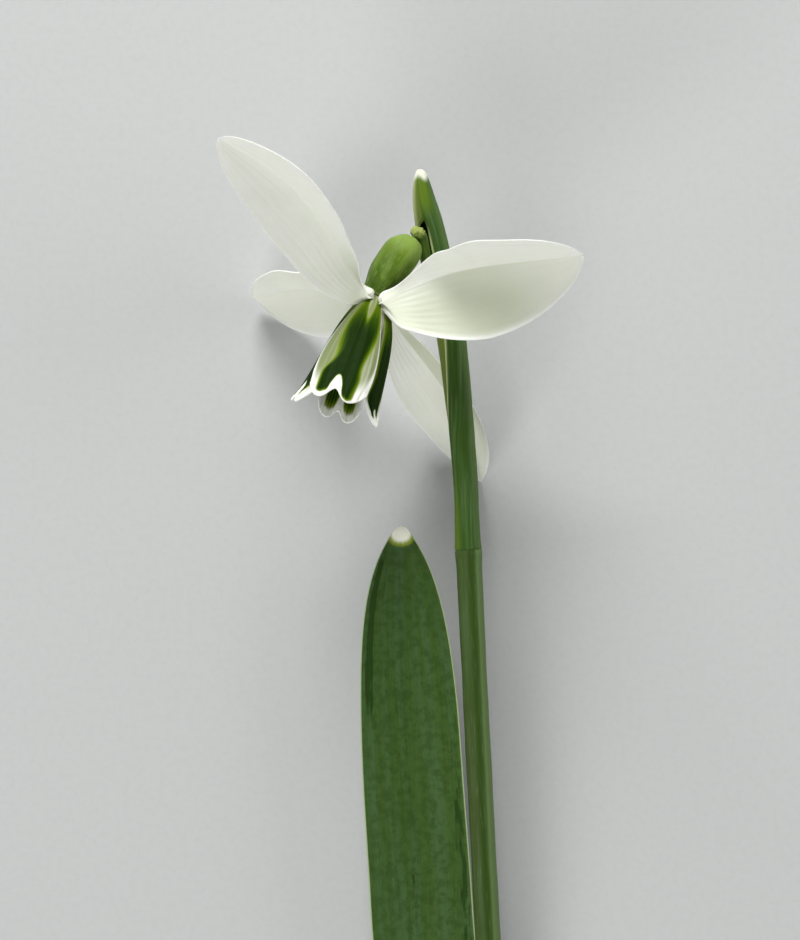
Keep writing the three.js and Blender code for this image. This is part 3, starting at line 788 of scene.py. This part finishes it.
# Stalks: a round section swept along a curve, as thick as the curve's radius, with faint ribs.
def buildStalkTree():
    tree, node = newTree("stalk along a curve", {
        "Geometry": "Geometry", "Rings": "Int", "Sides": "Int", "Rib Count": "Float", "Rib Depth": "Float",
        "Skin": "Material",
    })
    start = node("NodeGroupInput").outputs
    resampled = node("GeometryNodeResampleCurve", {"Curve": start["Geometry"], "Count": start["Rings"]})
    share = node("GeometryNodeSplineParameter").outputs["Factor"]
    along = node("GeometryNodeStoreNamedAttribute", {"Geometry": resampled, "Name": "along", "Value": share})
    circle = node("GeometryNodeCurvePrimitiveCircle", {"Resolution": start["Sides"], "Radius": 1.0}).outputs[0]
    section = node("GeometryNodeStoreNamedAttribute", {"Geometry": circle, "Name": "turn", "Value": share})
    girth = node("GeometryNodeInputRadius")
    tube = node(
        "GeometryNodeCurveToMesh", {"Curve": along, "Profile Curve": section, "Scale": girth, "Fill Caps": True},
    )
    turn = node("GeometryNodeInputNamedAttribute", {"Name": "turn"}, data_type="FLOAT")
    angle = node("ShaderNodeMath", (turn, start["Rib Count"]), operation="MULTIPLY")
    turned = node("ShaderNodeMath", (angle, 2 * math.pi), operation="MULTIPLY")
    wave = node("ShaderNodeMath", (turned,), operation="COSINE")
    height = node("ShaderNodeMath", (wave, start["Rib Depth"]), operation="MULTIPLY")
    push = node("ShaderNodeVectorMath", {0: node("GeometryNodeInputNormal"), "Scale": height}, operation="SCALE")
    ribbed = node("GeometryNodeSetPosition", {"Geometry": tube, "Offset": push})
    single = node("GeometryNodeRealizeInstances", {"Geometry": ribbed})
    skinned = node("GeometryNodeSetMaterial", {"Geometry": single, "Material": start["Skin"]})
    node("NodeGroupOutput", {"Geometry": skinned})
    return tree


stalkTree = buildStalkTree()


# Gives the mesh, and for each point its share of the turn from the left limb to the right one
# and its share of the length.
def stalkMesh(name, path, radii, material, form):
    curve = bpy.data.curves.new(name, "CURVE")
    curve.dimensions = "3D"
    spline = curve.splines.new("POLY")
    spline.points.add(len(radii) - 1)
    line = path(np.linspace(0, 1, len(radii)))
    for place, where, radius in zip(spline.points, onGround(line), radii):
        place.co = (*where, 1.0)
        place.radius = radius / 1000
    holder = bpy.data.objects.new(name, curve)
    bpy.context.scene.collection.objects.link(holder)
    mesh = runTree(holder, stalkTree, {
        "Rings": form["rings"], "Sides": form["sides"], "Rib Count": float(form["ribs"]),
        "Rib Depth": form["ribDepth"] / 1000, "Skin": material,
    })
    bpy.data.curves.remove(curve)
    mesh.attributes.remove(mesh.attributes["turn"])
    along = np.zeros(len(mesh.vertices), np.float32)
    mesh.attributes["along"].data.foreach_get("value", along)
    placed = np.zeros(len(mesh.vertices) * 3)
    mesh.vertices.foreach_get("co", placed)
    plant = (placed.reshape(-1, 3) * 1000 - plantShift) @ plantTurn
    ahead = path(along + 0.001) - path(along - 0.001)
    sideways = unit(np.cross(ahead, (0, 0, 1.0)))
    reach = np.sum(unit(plant - path(along) + 1e-9) * sideways, -1)
    around = np.arccos(np.clip(-reach, -1, 1)) / math.pi
    # The upper and the lower half mirror each other, so the pattern has no seam.
    setPlaces(mesh, np.stack([around, along], -1))
    return mesh, around, along


stemForm = {
    "bowTop": 28.8, "bow": 0.00053, "topDepth": -4.2, "footY": -100.5, "ringY": -9.7,
    "plan": (
        (13.05, -100.5), (10.74, -57.3), (9.3, -30.3), (8.3, -9.7), (7.81, 0.9), (6.23, 16.1), (5.2, 21.8),
        (4.11, 26.6), (3.6, 29.4), (2.9, 32.7), (2.42, 36.3),
    ),
    "radius": 1.52, "ringRadius": 1.66, "rings": 260, "sides": 48, "ribs": 8, "ribDepth": 0.02,
}
stemPlan, _ = throughPoints([(x, y, 0) for x, y in stemForm["plan"]], 4000)
planSamples = stemPlan(np.linspace(0, 1, 4000))


def stemPoint(y):
    y = np.asarray(y, float)
    x = np.interp(y, planSamples[:, 1], planSamples[:, 0])
    drop = stemForm["bow"] * np.maximum(stemForm["bowTop"] - y, 0) ** 2
    return np.stack([x, y, stemForm["topDepth"] - drop], -1)


# Scape: it swells into a shoulder where the bract grows out of it.
def scape():
    form = stemForm
    top = form["ringY"] + 0.12
    y = np.linspace(form["footY"], top, 300)
    toRing = form["ringY"] - y
    shoulder = (form["ringRadius"] - form["radius"]) * np.exp(-((toRing / 1.6) ** 2))
    wander = 0.02 * np.sin(0.31 * y) + 0.012 * np.sin(0.83 * y)
    radii = form["radius"] + shoulder + wander * ease(0, 6, toRing) - 0.1 * ease(0.15, -0.12, toRing)
    mesh, around, along = stalkMesh(
        "scape", lambda t: stemPoint(mix(form["footY"], top, t)), radii, waxyStem, form,
    )
    # Painted shade and highlight, placed as seen from above: a dark stripe down the middle of the stem and a
    # lighter band to its right.
    shadeStripe = around - mix(0.5, 0.54, ease(0.4, 1.0, along))
    setValues(mesh, {
        "shadeStripe": 0.75 * np.exp(-((shadeStripe / 0.11) ** 2)), "light": 0.95 * ease(0.08, 0.18, shadeStripe),
    })
    mesh.materials.append(cutPith)
    for polygon in mesh.polygons:
        if len(polygon.vertices) > 4:
            polygon.material_index = 1
    addPiece("stem", mesh, ["scape"])


scape()

# Pedicel: the thread inside the bract, bent out through the slit, ending in a crinkled knob.
pedicelForm = {
    "radius": 0.5, "bendRadius": 0.68, "knobRadius": 0.72, "crinkle": 0.07,
    "rings": 400, "sides": 28, "ribs": 7, "ribDepth": 0.04,
    "bend": (
        (4.3, 23.4, -3.9), (3.5, 24.9, -3.3), (2.95, 26.6, -2.75), (2.6, 28.0, -2.2), (2.05, 28.65, -1.75),
        (1.45, 28.35, -1.55),
    ),
}


def pedicel():
    form = pedicelForm
    inside = stemPoint([stemForm["ringY"] + 0.3, -2, 6, 13, 18.5])
    path, _ = throughPoints([*inside, *form["bend"]])
    t = np.linspace(0, 1, 400)
    swell = (form["bendRadius"] - form["radius"]) * ease(0.8, 0.9, t)
    swell = swell + (form["knobRadius"] - form["bendRadius"]) * ease(0.955, 0.98, t)
    crinkle = form["crinkle"] * np.sin(760 * t) * ease(0.945, 0.96, t)
    radii = form["radius"] + swell + crinkle - 0.3 * ease(0.985, 1.0, t)
    mesh, _, along = stalkMesh("pedicel", path, radii, waxySkin, form)
    setValues(mesh, {"pale": 0.8 * ease(0.955, 0.98, along)})
    addPiece("flower_stalk", mesh, ["pedicel"])


pedicel()

# Ovary: a bent barrel with faint sutures that ends in the pale disc under the tepals.
ovaryForm = {
    "middle": ((1.3, 28, -1.5), (0.7, 26.8, -1.2), (-0.45, 25.2, -0.8), (-1.7, 23.2, -0.4)),
    "endShift": (-0.25, 0.1, 0), "topRadius": 0.5, "radius": 2.3, "endRadius": 1.68, "dome": 0.3,
    "rings": 130, "sides": 64, "ribs": 6, "ribDepth": 0.03,
}


def ovary():
    form = ovaryForm
    path, _ = throughPoints([*form["middle"], receptacle - mouthWay * 0.55 + form["endShift"]])
    t = np.linspace(0, 1, 200)
    climb = np.minimum(t / form["dome"], 1)
    rounded = np.sqrt(climb * (2 - climb))
    taper = (form["radius"] - form["endRadius"]) * ease(0.6, 1.0, t)
    radii = form["topRadius"] + (form["radius"] - form["topRadius"]) * rounded - taper
    radii = radii - 0.25 * ease(0.975, 1.0, t)
    mesh, _, along = stalkMesh("ovary", path, radii, waxySkin, form)
    setValues(mesh, {"pale": 0.6 * ease(0.93, 0.99, along)})
    addPiece("seed_pod", mesh, ["ovary"])


ovary()


# Style: a thread that thickens below its blunt tip.
styleForm = {"radius": 0.17, "swell": 0.08, "rings": 60, "sides": 12, "ribs": 3, "ribDepth": 0.01}


def style():
    form = styleForm
    low, high = flower["styleEnds"]
    t = np.linspace(0, 1, form["rings"])
    radii = form["radius"] + form["swell"] * ease(0.55, 0.9, t) - form["radius"] * ease(0.93, 1.0, t)
    mesh, _, _ = stalkMesh(
        "style", lambda t: receptacle + mouthWay * mix(low, high, t)[..., None], radii, filamentSkin, form,
    )
    addPiece("style_thread", mesh, ["style"])


style()
print("stalks made")

# Bract: two valves rolled into a tube. Their margins overlap along a seam that drifts round to
# the left side low down, and the left one stands back where the pedicel comes out.
bractForm = {
    "baseY": -9.55, "tipY": 36.35, "rows": 280, "columns": 84, "thickness": 0.4, "rimThickness": 0.2,
    "outer": (
        (0, 1.63), (0.02, 1.55), (0.1, 1.45), (0.28, 1.5), (0.55, 1.77), (0.75, 1.92), (0.8, 1.88), (0.85, 1.72),
        (0.9, 1.5), (0.946, 1.2), (0.965, 1.0), (0.985, 0.76), (1, 0.64),
    ),
    "seam": ((0.28, -88), (0.34, -66), (0.42, -46), (0.55, -25), (0.78, -7), (0.85, -11), (0.9, -19), (1, -28)),
    "mouth": (0.73, 0.765, 0.845, 0.88), "mouthGap": 56, "overlap": 5, "ribs": 12, "ribDepth": 0.025,
}


def bractTube():
    form = bractForm
    i, u = bladePlaces(form["rows"], form["columns"])
    t = 1 - (1 - i) ** 1.15
    middle = stemPoint(mix(form["baseY"], form["tipY"], t))
    above = unit(stemPoint(middle[..., 1] + 0.5) - stemPoint(middle[..., 1] - 0.5))
    upward = unit(np.array((0, 0, 1.0)) - above * above[..., 2:3])
    side = np.cross(above, upward)
    opened = ease(*form["mouth"][:2], t) * (1 - ease(*form["mouth"][2:], t))
    seam = curveThrough(form["seam"], t)  # degrees from straight up, to the left when negative
    rightMargin = seam - form["overlap"] * (1 - opened)
    leftMargin = seam + 360 + mix(form["overlap"], -form["mouthGap"], opened)
    angle = np.radians(mix(rightMargin, leftMargin, (u + 1) / 2))
    lapped = 0.16 * (1 - opened) * (ease(0.8, 1.0, -u) - ease(0.8, 1.0, u))
    dome = np.sqrt(np.clip(1 - np.clip((t - 0.982) / 0.018, 0, 1) ** 2, 0.0004, 1))
    radius = (curveThrough(form["outer"], t, 0.008) - form["thickness"] / 2 + lapped) * dome
    grid = middle + upward * (radius * np.cos(angle))[..., None] + side * (radius * np.sin(angle))[..., None]
    thick = mix(form["thickness"], form["rimThickness"], ease(0.85, 1.0, np.abs(u))) * mix(0.3, 1, dome)
    ribs = form["ribDepth"] * np.cos(math.pi * form["ribs"] * u) * (1 - ease(0.9, 1.0, t))
    values = {
        # Painted highlight along the right side of the tube, as seen from above.
        "light": 0.8 * ease(0.3, 0.95, np.sin(angle)),
        "thin": 0.8 * ease(0.5, 0.66, u) * ease(0.2, 0.36, t),
        "fresh": np.maximum(
            0.6 * (1 - ease(0.02, 0.3, t)) * (1 - ease(-0.9, -0.2, np.sin(angle))),
            ease(0.84, 0.94, t) * (1 - ease(0.3, 0.9, np.sin(angle))) * (u < 0),
        ),
        "paper": 0.8 * np.maximum(
            ease(0.93, 0.985, -u) * ease(0.25, 0.4, t) * (1 - ease(0.8, 0.88, t)),
            ease(0.75, 0.9, t) * ease(-0.6, -1.0, np.sin(angle)),
        ),
        "tip": ease(0.962, 0.99, t + 0.006 * np.sin(3 * angle)),
    }
    places = np.stack([0.5 + u / 2, t], -1)
    mesh = sheetMesh("spathe", grid, thick, (ribs, -ribs), places, greenBract, values)
    addPiece("bract", mesh, ["spathe"])


bractTube()
print("bract made")

# Leaf: a strap with a shallow channel above, a keel below and a blunt cream hood at its tip.
leafForm = {
    "middle": (
        (13.05, -100.5, -15.3), (12.6, -93.5, -14.52), (10.9, -86.5, -14.15), (8.2, -79.5, -13.65),
        (5.6, -72.5, -13.05), (3.9, -65, -12.7), (2.95, -57.6, -12.4), (2.4, -49.6, -12.1),
        (1.7, -39.3, -11.8), (1.17, -30.6, -11.6), (0.6, -20.9, -11.4), (0.3, -13.8, -11.2), (0.1, -6.9, -11),
    ),
    "halfWidth": 6.35, "footHalfWidth": 2.9, "pointLength": 7.4, "rows": 260, "columns": 96,
    "thickness": 0.5, "rimThickness": 0.16, "keel": 0.3, "veins": 13, "veinDepth": 0.014,
}


def leafBlade():
    form = leafForm
    path, length = throughPoints(form["middle"], 3000)

    def halfWidth(t, u):
        toTip = np.maximum(length * (1 - t), 0)
        pointed = 1 - np.exp(-((toTip + 0.5) / form["pointLength"]) ** 0.97)
        blunt = np.sqrt(np.clip(1 - (1 - np.clip(toTip / 0.45, 0, 1)) ** 2, 0.002, 1))
        full = mix(form["footHalfWidth"], form["halfWidth"], ease(10, 36, length * t))
        return full * pointed * blunt

    def angleAt(t, s, way):
        wrapped = 14 + 58 * (1 - ease(10, 20, length * t))
        hood = 8 * ease(0.97, 1.0, t)
        ripple = 3 * np.sin(11 * t + way * 1.3) + 2 * np.sin(23 * t - way)
        return (wrapped + hood + ripple * ease(0.25, 0.4, t)) * s + 12 * ease(0.92, 1.0, s)

    i, u = bladePlaces(form["rows"], form["columns"])
    t = 1 - (1 - i) ** 1.15
    grid = bladeGrid(path, lambda t: np.broadcast_to((0, 0, 1.0), t.shape + (3,)), halfWidth, angleAt, t, u)
    thick = mix(form["thickness"], form["rimThickness"], ease(0.6, 1.0, np.abs(u)))
    thick = thick + 0.5 * ease(0.965, 0.99, t) * (1 - u ** 2) * np.sqrt(np.clip((1 - t) / 0.01, 0, 1))
    veins = form["veinDepth"] * np.cos(math.pi * form["veins"] * u) * (1 - ease(0.85, 1.0, np.abs(u)))
    veins = veins * (1 - ease(0.93, 0.97, t))
    ridge = ease(0.1, 0.25, t) * (1 - ease(0.9, 0.99, t))
    keel = form["keel"] * np.exp(-((u / 0.13) ** 2)) * ridge
    channel = -0.12 * np.exp(-((u / 0.1) ** 2)) * ridge
    besideLeft = ease(0.66, 0.76, -u) * (1 - ease(0.88, 0.95, -u))
    besideLeft = besideLeft * ease(0.68, 0.8, t) * (1 - ease(0.95, 0.98, t))
    besideRight = ease(0.5, 0.86, u) * (1 - ease(0.93, 0.98, u)) * (1 - 0.55 * ease(0.62, 0.9, t))
    middleRub = 0.6 * np.exp(-(((u + 0.12) / 0.1) ** 2) - (((t - 0.545) / 0.02) ** 2))
    values = {
        "rubbed": np.clip(0.75 * besideLeft + 0.62 * besideRight + middleRub, 0, 1),
        "rim": ease(0.975, 0.99, np.abs(u)),
        "hood": ease(length - 3.4, length - 0.9, length * t - 0.9 * u ** 2),
    }
    places = np.stack([0.5 + u / 2, t], -1)
    # The grid's normals point down, so the first relief is the lower face's.
    mesh = sheetMesh("leaf", grid, thick, (keel + veins, channel + veins), places, strapLeaf, values)
    addPiece("strap_leaf", mesh, ["leaf"])


leafBlade()
print("leaf made")

# Basal sheath: a papery tube with a slanted, slightly torn mouth.
sheathForm = {
    "bore": 3.05, "radius": 3.65, "length": 7.5, "slant": 1.5, "thickness": 0.3, "rows": 60, "sides": 120,
}


def sheathTube():
    form = sheathForm
    i, j = np.meshgrid(
        np.arange(form["rows"] + 1) / form["rows"], np.arange(form["sides"]) / form["sides"], indexing="ij",
    )
    angle = 2 * math.pi * j
    torn = 0.4 * np.sin(5 * angle + 0.6) * np.maximum(np.sin(2 * angle), 0) + 0.12 * np.sin(13 * angle)
    rise = form["slant"] * np.sin(angle) * i + torn * i ** 3
    middle = stemPoint(stemForm["footY"] + form["length"] * i)
    wrinkle = 0.045 * np.sin(17 * angle + 2 * i) + 0.035 * np.sin(29 * angle - 3 * i)
    out = (form["radius"] + form["bore"]) / 2 + 0.08 + wrinkle - 0.1 * ease(0.0, 0.5, i)
    shells = [
        middle + np.stack([(out + way) * np.cos(angle), rise, (out + way) * np.sin(angle)], -1)
        for way in (form["thickness"] / 2, -form["thickness"] / 2)
    ]
    loops = np.concatenate([shells[0], shells[1][::-1]])
    rings, sides = loops.shape[:2]
    at = np.arange(rings * sides).reshape(rings, sides)
    above, beside = np.roll(at, -1, 0), np.roll(at, -1, 1)
    faces = np.stack([at, above, np.roll(above, -1, 1), beside], -1).reshape(-1, 4)
    mesh = bpy.data.meshes.new("sheath")
    mesh.from_pydata(onGround(loops.reshape(-1, 3)).tolist(), [], faces.tolist())
    shares = np.concatenate([i, i[::-1]]).ravel()
    halves = 1 - np.abs(2 * np.concatenate([j, j]) - 1)
    setPlaces(mesh, np.stack([halves.ravel(), shares], -1))
    setValues(mesh, {"along": shares})
    mesh.materials.append(dryHusk)
    mesh.update()
    addPiece("foot_sheath", mesh, ["basal_sheath"])


sheathTube()
print("sheath made")

# Stamens: pointed anthers on short filaments, set round the style by a tree that copies one
# round an axis. Heights are from the receptacle towards the mouth.
stamenForm = {
    "count": 8, "ring": 0.8, "lean": 0.02, "filament": (0.0, 2.6), "anther": (2.2, 8.0), "radius": 0.34,
    "seed": 4,
}


# A thin turned solid along +Z: its radius at each share of its length, with two grooves.
def turnedSolid(low, high, radiusAt, groove, rings=20, sides=12):
    share = np.linspace(0, 1, rings + 1)[:, None]
    angle = (2 * math.pi * np.arange(sides) / sides)[None, :]
    radius = np.maximum(radiusAt(share), 0.02) * (1 - groove * np.abs(np.cos(angle)) ** 6)
    points = np.stack(np.broadcast_arrays(
        radius * np.cos(angle), radius * 0.85 * np.sin(angle), mix(low, high, share),
    ), -1)
    at = np.arange((rings + 1) * sides).reshape(rings + 1, sides)
    beside = np.roll(at, -1, 1)
    walls = np.stack([at[:-1], beside[:-1], beside[1:], at[1:]], -1).reshape(-1, 4)
    return points.reshape(-1, 3), [*walls.tolist(), at[0, ::-1].tolist(), at[-1].tolist()]


def buildRingTree():
    tree, node = newTree("copies round an axis", {
        "Geometry": "Geometry", "Count": "Int", "Ring Radius": "Float", "Lean": "Float", "Seed": "Int",
        "Skin": "Material",
    })
    start = node("NodeGroupInput").outputs
    line = node("GeometryNodeMeshLine", {"Count": start["Count"], "Offset": (0, 0, 0)}, mode="OFFSET")
    share = node("ShaderNodeMath", (node("GeometryNodeInputIndex"), start["Count"]), operation="DIVIDE")
    angle = node("ShaderNodeMath", (share, 2 * math.pi), operation="MULTIPLY")
    outward = node("ShaderNodeCombineXYZ", (
        node("ShaderNodeMath", (angle,), operation="COSINE"), node("ShaderNodeMath", (angle,), operation="SINE"),
    ))
    place = node("ShaderNodeVectorMath", {0: outward, "Scale": start["Ring Radius"]}, operation="SCALE")
    ring = node("GeometryNodeSetPosition", {"Geometry": line, "Position": place})
    jitter = node("FunctionNodeRandomValue", {2: -0.05, 3: 0.05, "Seed": start["Seed"]}, data_type="FLOAT")
    lean = node("ShaderNodeMath", (start["Lean"], jitter), operation="ADD")
    turn = node("ShaderNodeCombineXYZ", {1: lean, 2: angle})
    copies = node("GeometryNodeInstanceOnPoints", {
        "Points": ring, "Instance": start["Geometry"], "Rotation": turn,
    })
    single = node("GeometryNodeRealizeInstances", {"Geometry": copies})
    skinned = node("GeometryNodeSetMaterial", {"Geometry": single, "Material": start["Skin"]})
    node("NodeGroupOutput", {"Geometry": skinned})
    return tree


ringTree = buildRingTree()


def stamenRing(name, solid, material, replaced):
    source = bpy.data.meshes.new(name)
    source.from_pydata(solid[0].tolist(), [], solid[1])
    holder = bpy.data.objects.new(name, source)
    bpy.context.scene.collection.objects.link(holder)
    mesh = runTree(holder, ringTree, {
        "Count": stamenForm["count"], "Ring Radius": stamenForm["ring"], "Lean": stamenForm["lean"],
        "Seed": stamenForm["seed"], "Skin": material,
    })
    local = np.zeros(len(mesh.vertices) * 3)
    mesh.vertices.foreach_get("co", local)
    local = local.reshape(-1, 3)
    stood = receptacle + local[:, :1] * rightWay + local[:, 1:2] * frontWay + local[:, 2:] * mouthWay
    mesh.vertices.foreach_set("co", onGround(stood).astype(np.float32).ravel())
    mesh.flip_normals()  # the flower's axes are left-handed
    mesh.update()
    addPiece(name, mesh, replaced)


def antherRadius(share):
    blunt = np.sqrt(np.clip(1 - (1 - np.clip(share / 0.25, 0, 1)) ** 2, 0, 1))
    return stamenForm["radius"] * blunt * (1 - 0.82 * ease(0.45, 1.0, share))


antherShape = turnedSolid(*stamenForm["anther"], antherRadius, 0.22)
filamentShape = turnedSolid(*stamenForm["filament"], lambda share: 0.2 - 0.08 * share, 0.0, 8, 10)
stamenRing("anthers", antherShape, pollenSac, ["stamens"])
stamenRing("filaments", filamentShape, filamentSkin, [])
print("stamens made")

# Camera: straight above the flower in the plant's frame, image up along the stem.
view = {"height": 500, "lens": 159.57, "sensor": 36}  # mm


def addCamera():
    eye, under, ahead = onGround(np.array([(0, 0, view["height"]), (0, 0, 0), (0, 1, view["height"])], float))
    data = bpy.data.cameras.new("camera")
    data.lens = view["lens"]
    data.sensor_width = view["sensor"]
    camera = bpy.data.objects.new("camera", data)
    bpy.context.scene.collection.objects.link(camera)
    back = Vector(eye - under).normalized()
    upward = Vector(ahead - eye).normalized()
    axes = Matrix((upward.cross(back), upward, back)).transposed().to_4x4()
    camera.matrix_world = Matrix.Translation(Vector(eye)) @ axes
    bpy.context.scene.camera = camera


addCamera()


# Matt painted board: even and pale, with a tooth that hardly shows.
board = {"pale": "babcbd", "fleck": "b5b7b8", "halfSize": 2.0}


def boardMaterial(name):
    material, node = newMaterial(name)
    base = over(node, board["pale"], board["fleck"], grain(node, 0.9), 0.4, 0.7, 0.5)
    finish(node, base, grain(node, 0.6), 0.01, (0.7, 0.8))
    return material


def addFloor():
    half = board["halfSize"]
    mesh = bpy.data.meshes.new("floor")
    mesh.from_pydata([(-half, -half, 0), (half, -half, 0), (half, half, 0), (-half, half, 0)], [], [(0, 1, 2, 3)])
    mesh.materials.append(boardMaterial("matt board"))
    floor = bpy.data.objects.new("floor", mesh)
    bpy.context.scene.collection.objects.link(floor)


addFloor()

# Soft studio light: a broad key from beyond the flower's head, a wide fill from the foot's left,
# a low one from the right that draws the bright edge of the stem, and a pale surround.
lights = {
    "key": {"place": (-0.12, 0.62, 0.45), "size": 0.3, "power": 5.7, "tint": (1, 0.995, 0.975)},
    "fill": {"place": (-0.35, -0.6, 0.5), "size": 0.4, "power": 3.7, "tint": (1, 0.995, 0.975)},
    "edge": {"place": (0.7, 0.05, 0.35), "size": 0.35, "power": 1.4, "tint": (1, 1, 1)},
}
surround = {"tint": "eeeeea", "strength": 0.3}


def addLights():
    for name, given in lights.items():
        data = bpy.data.lights.new(name, "AREA")
        data.size = given["size"]
        data.energy = given["power"]
        data.color = given["tint"]
        lamp = bpy.data.objects.new(name, data)
        bpy.context.scene.collection.objects.link(lamp)
        lamp.location = given["place"]
        aim = Vector((0, 0.02, 0.02)) - Vector(given["place"])
        lamp.rotation_euler = aim.to_track_quat("-Z", "Y").to_euler()
    world = bpy.data.worlds.new("studio")
    bpy.context.scene.world = world
    world.use_nodes = True
    background = world.node_tree.nodes["Background"]
    background.inputs["Color"].default_value = color(surround["tint"])
    background.inputs["Strength"].default_value = surround["strength"]
    bpy.context.scene.view_settings.view_transform = "Standard"


addLights()
print("stage made")
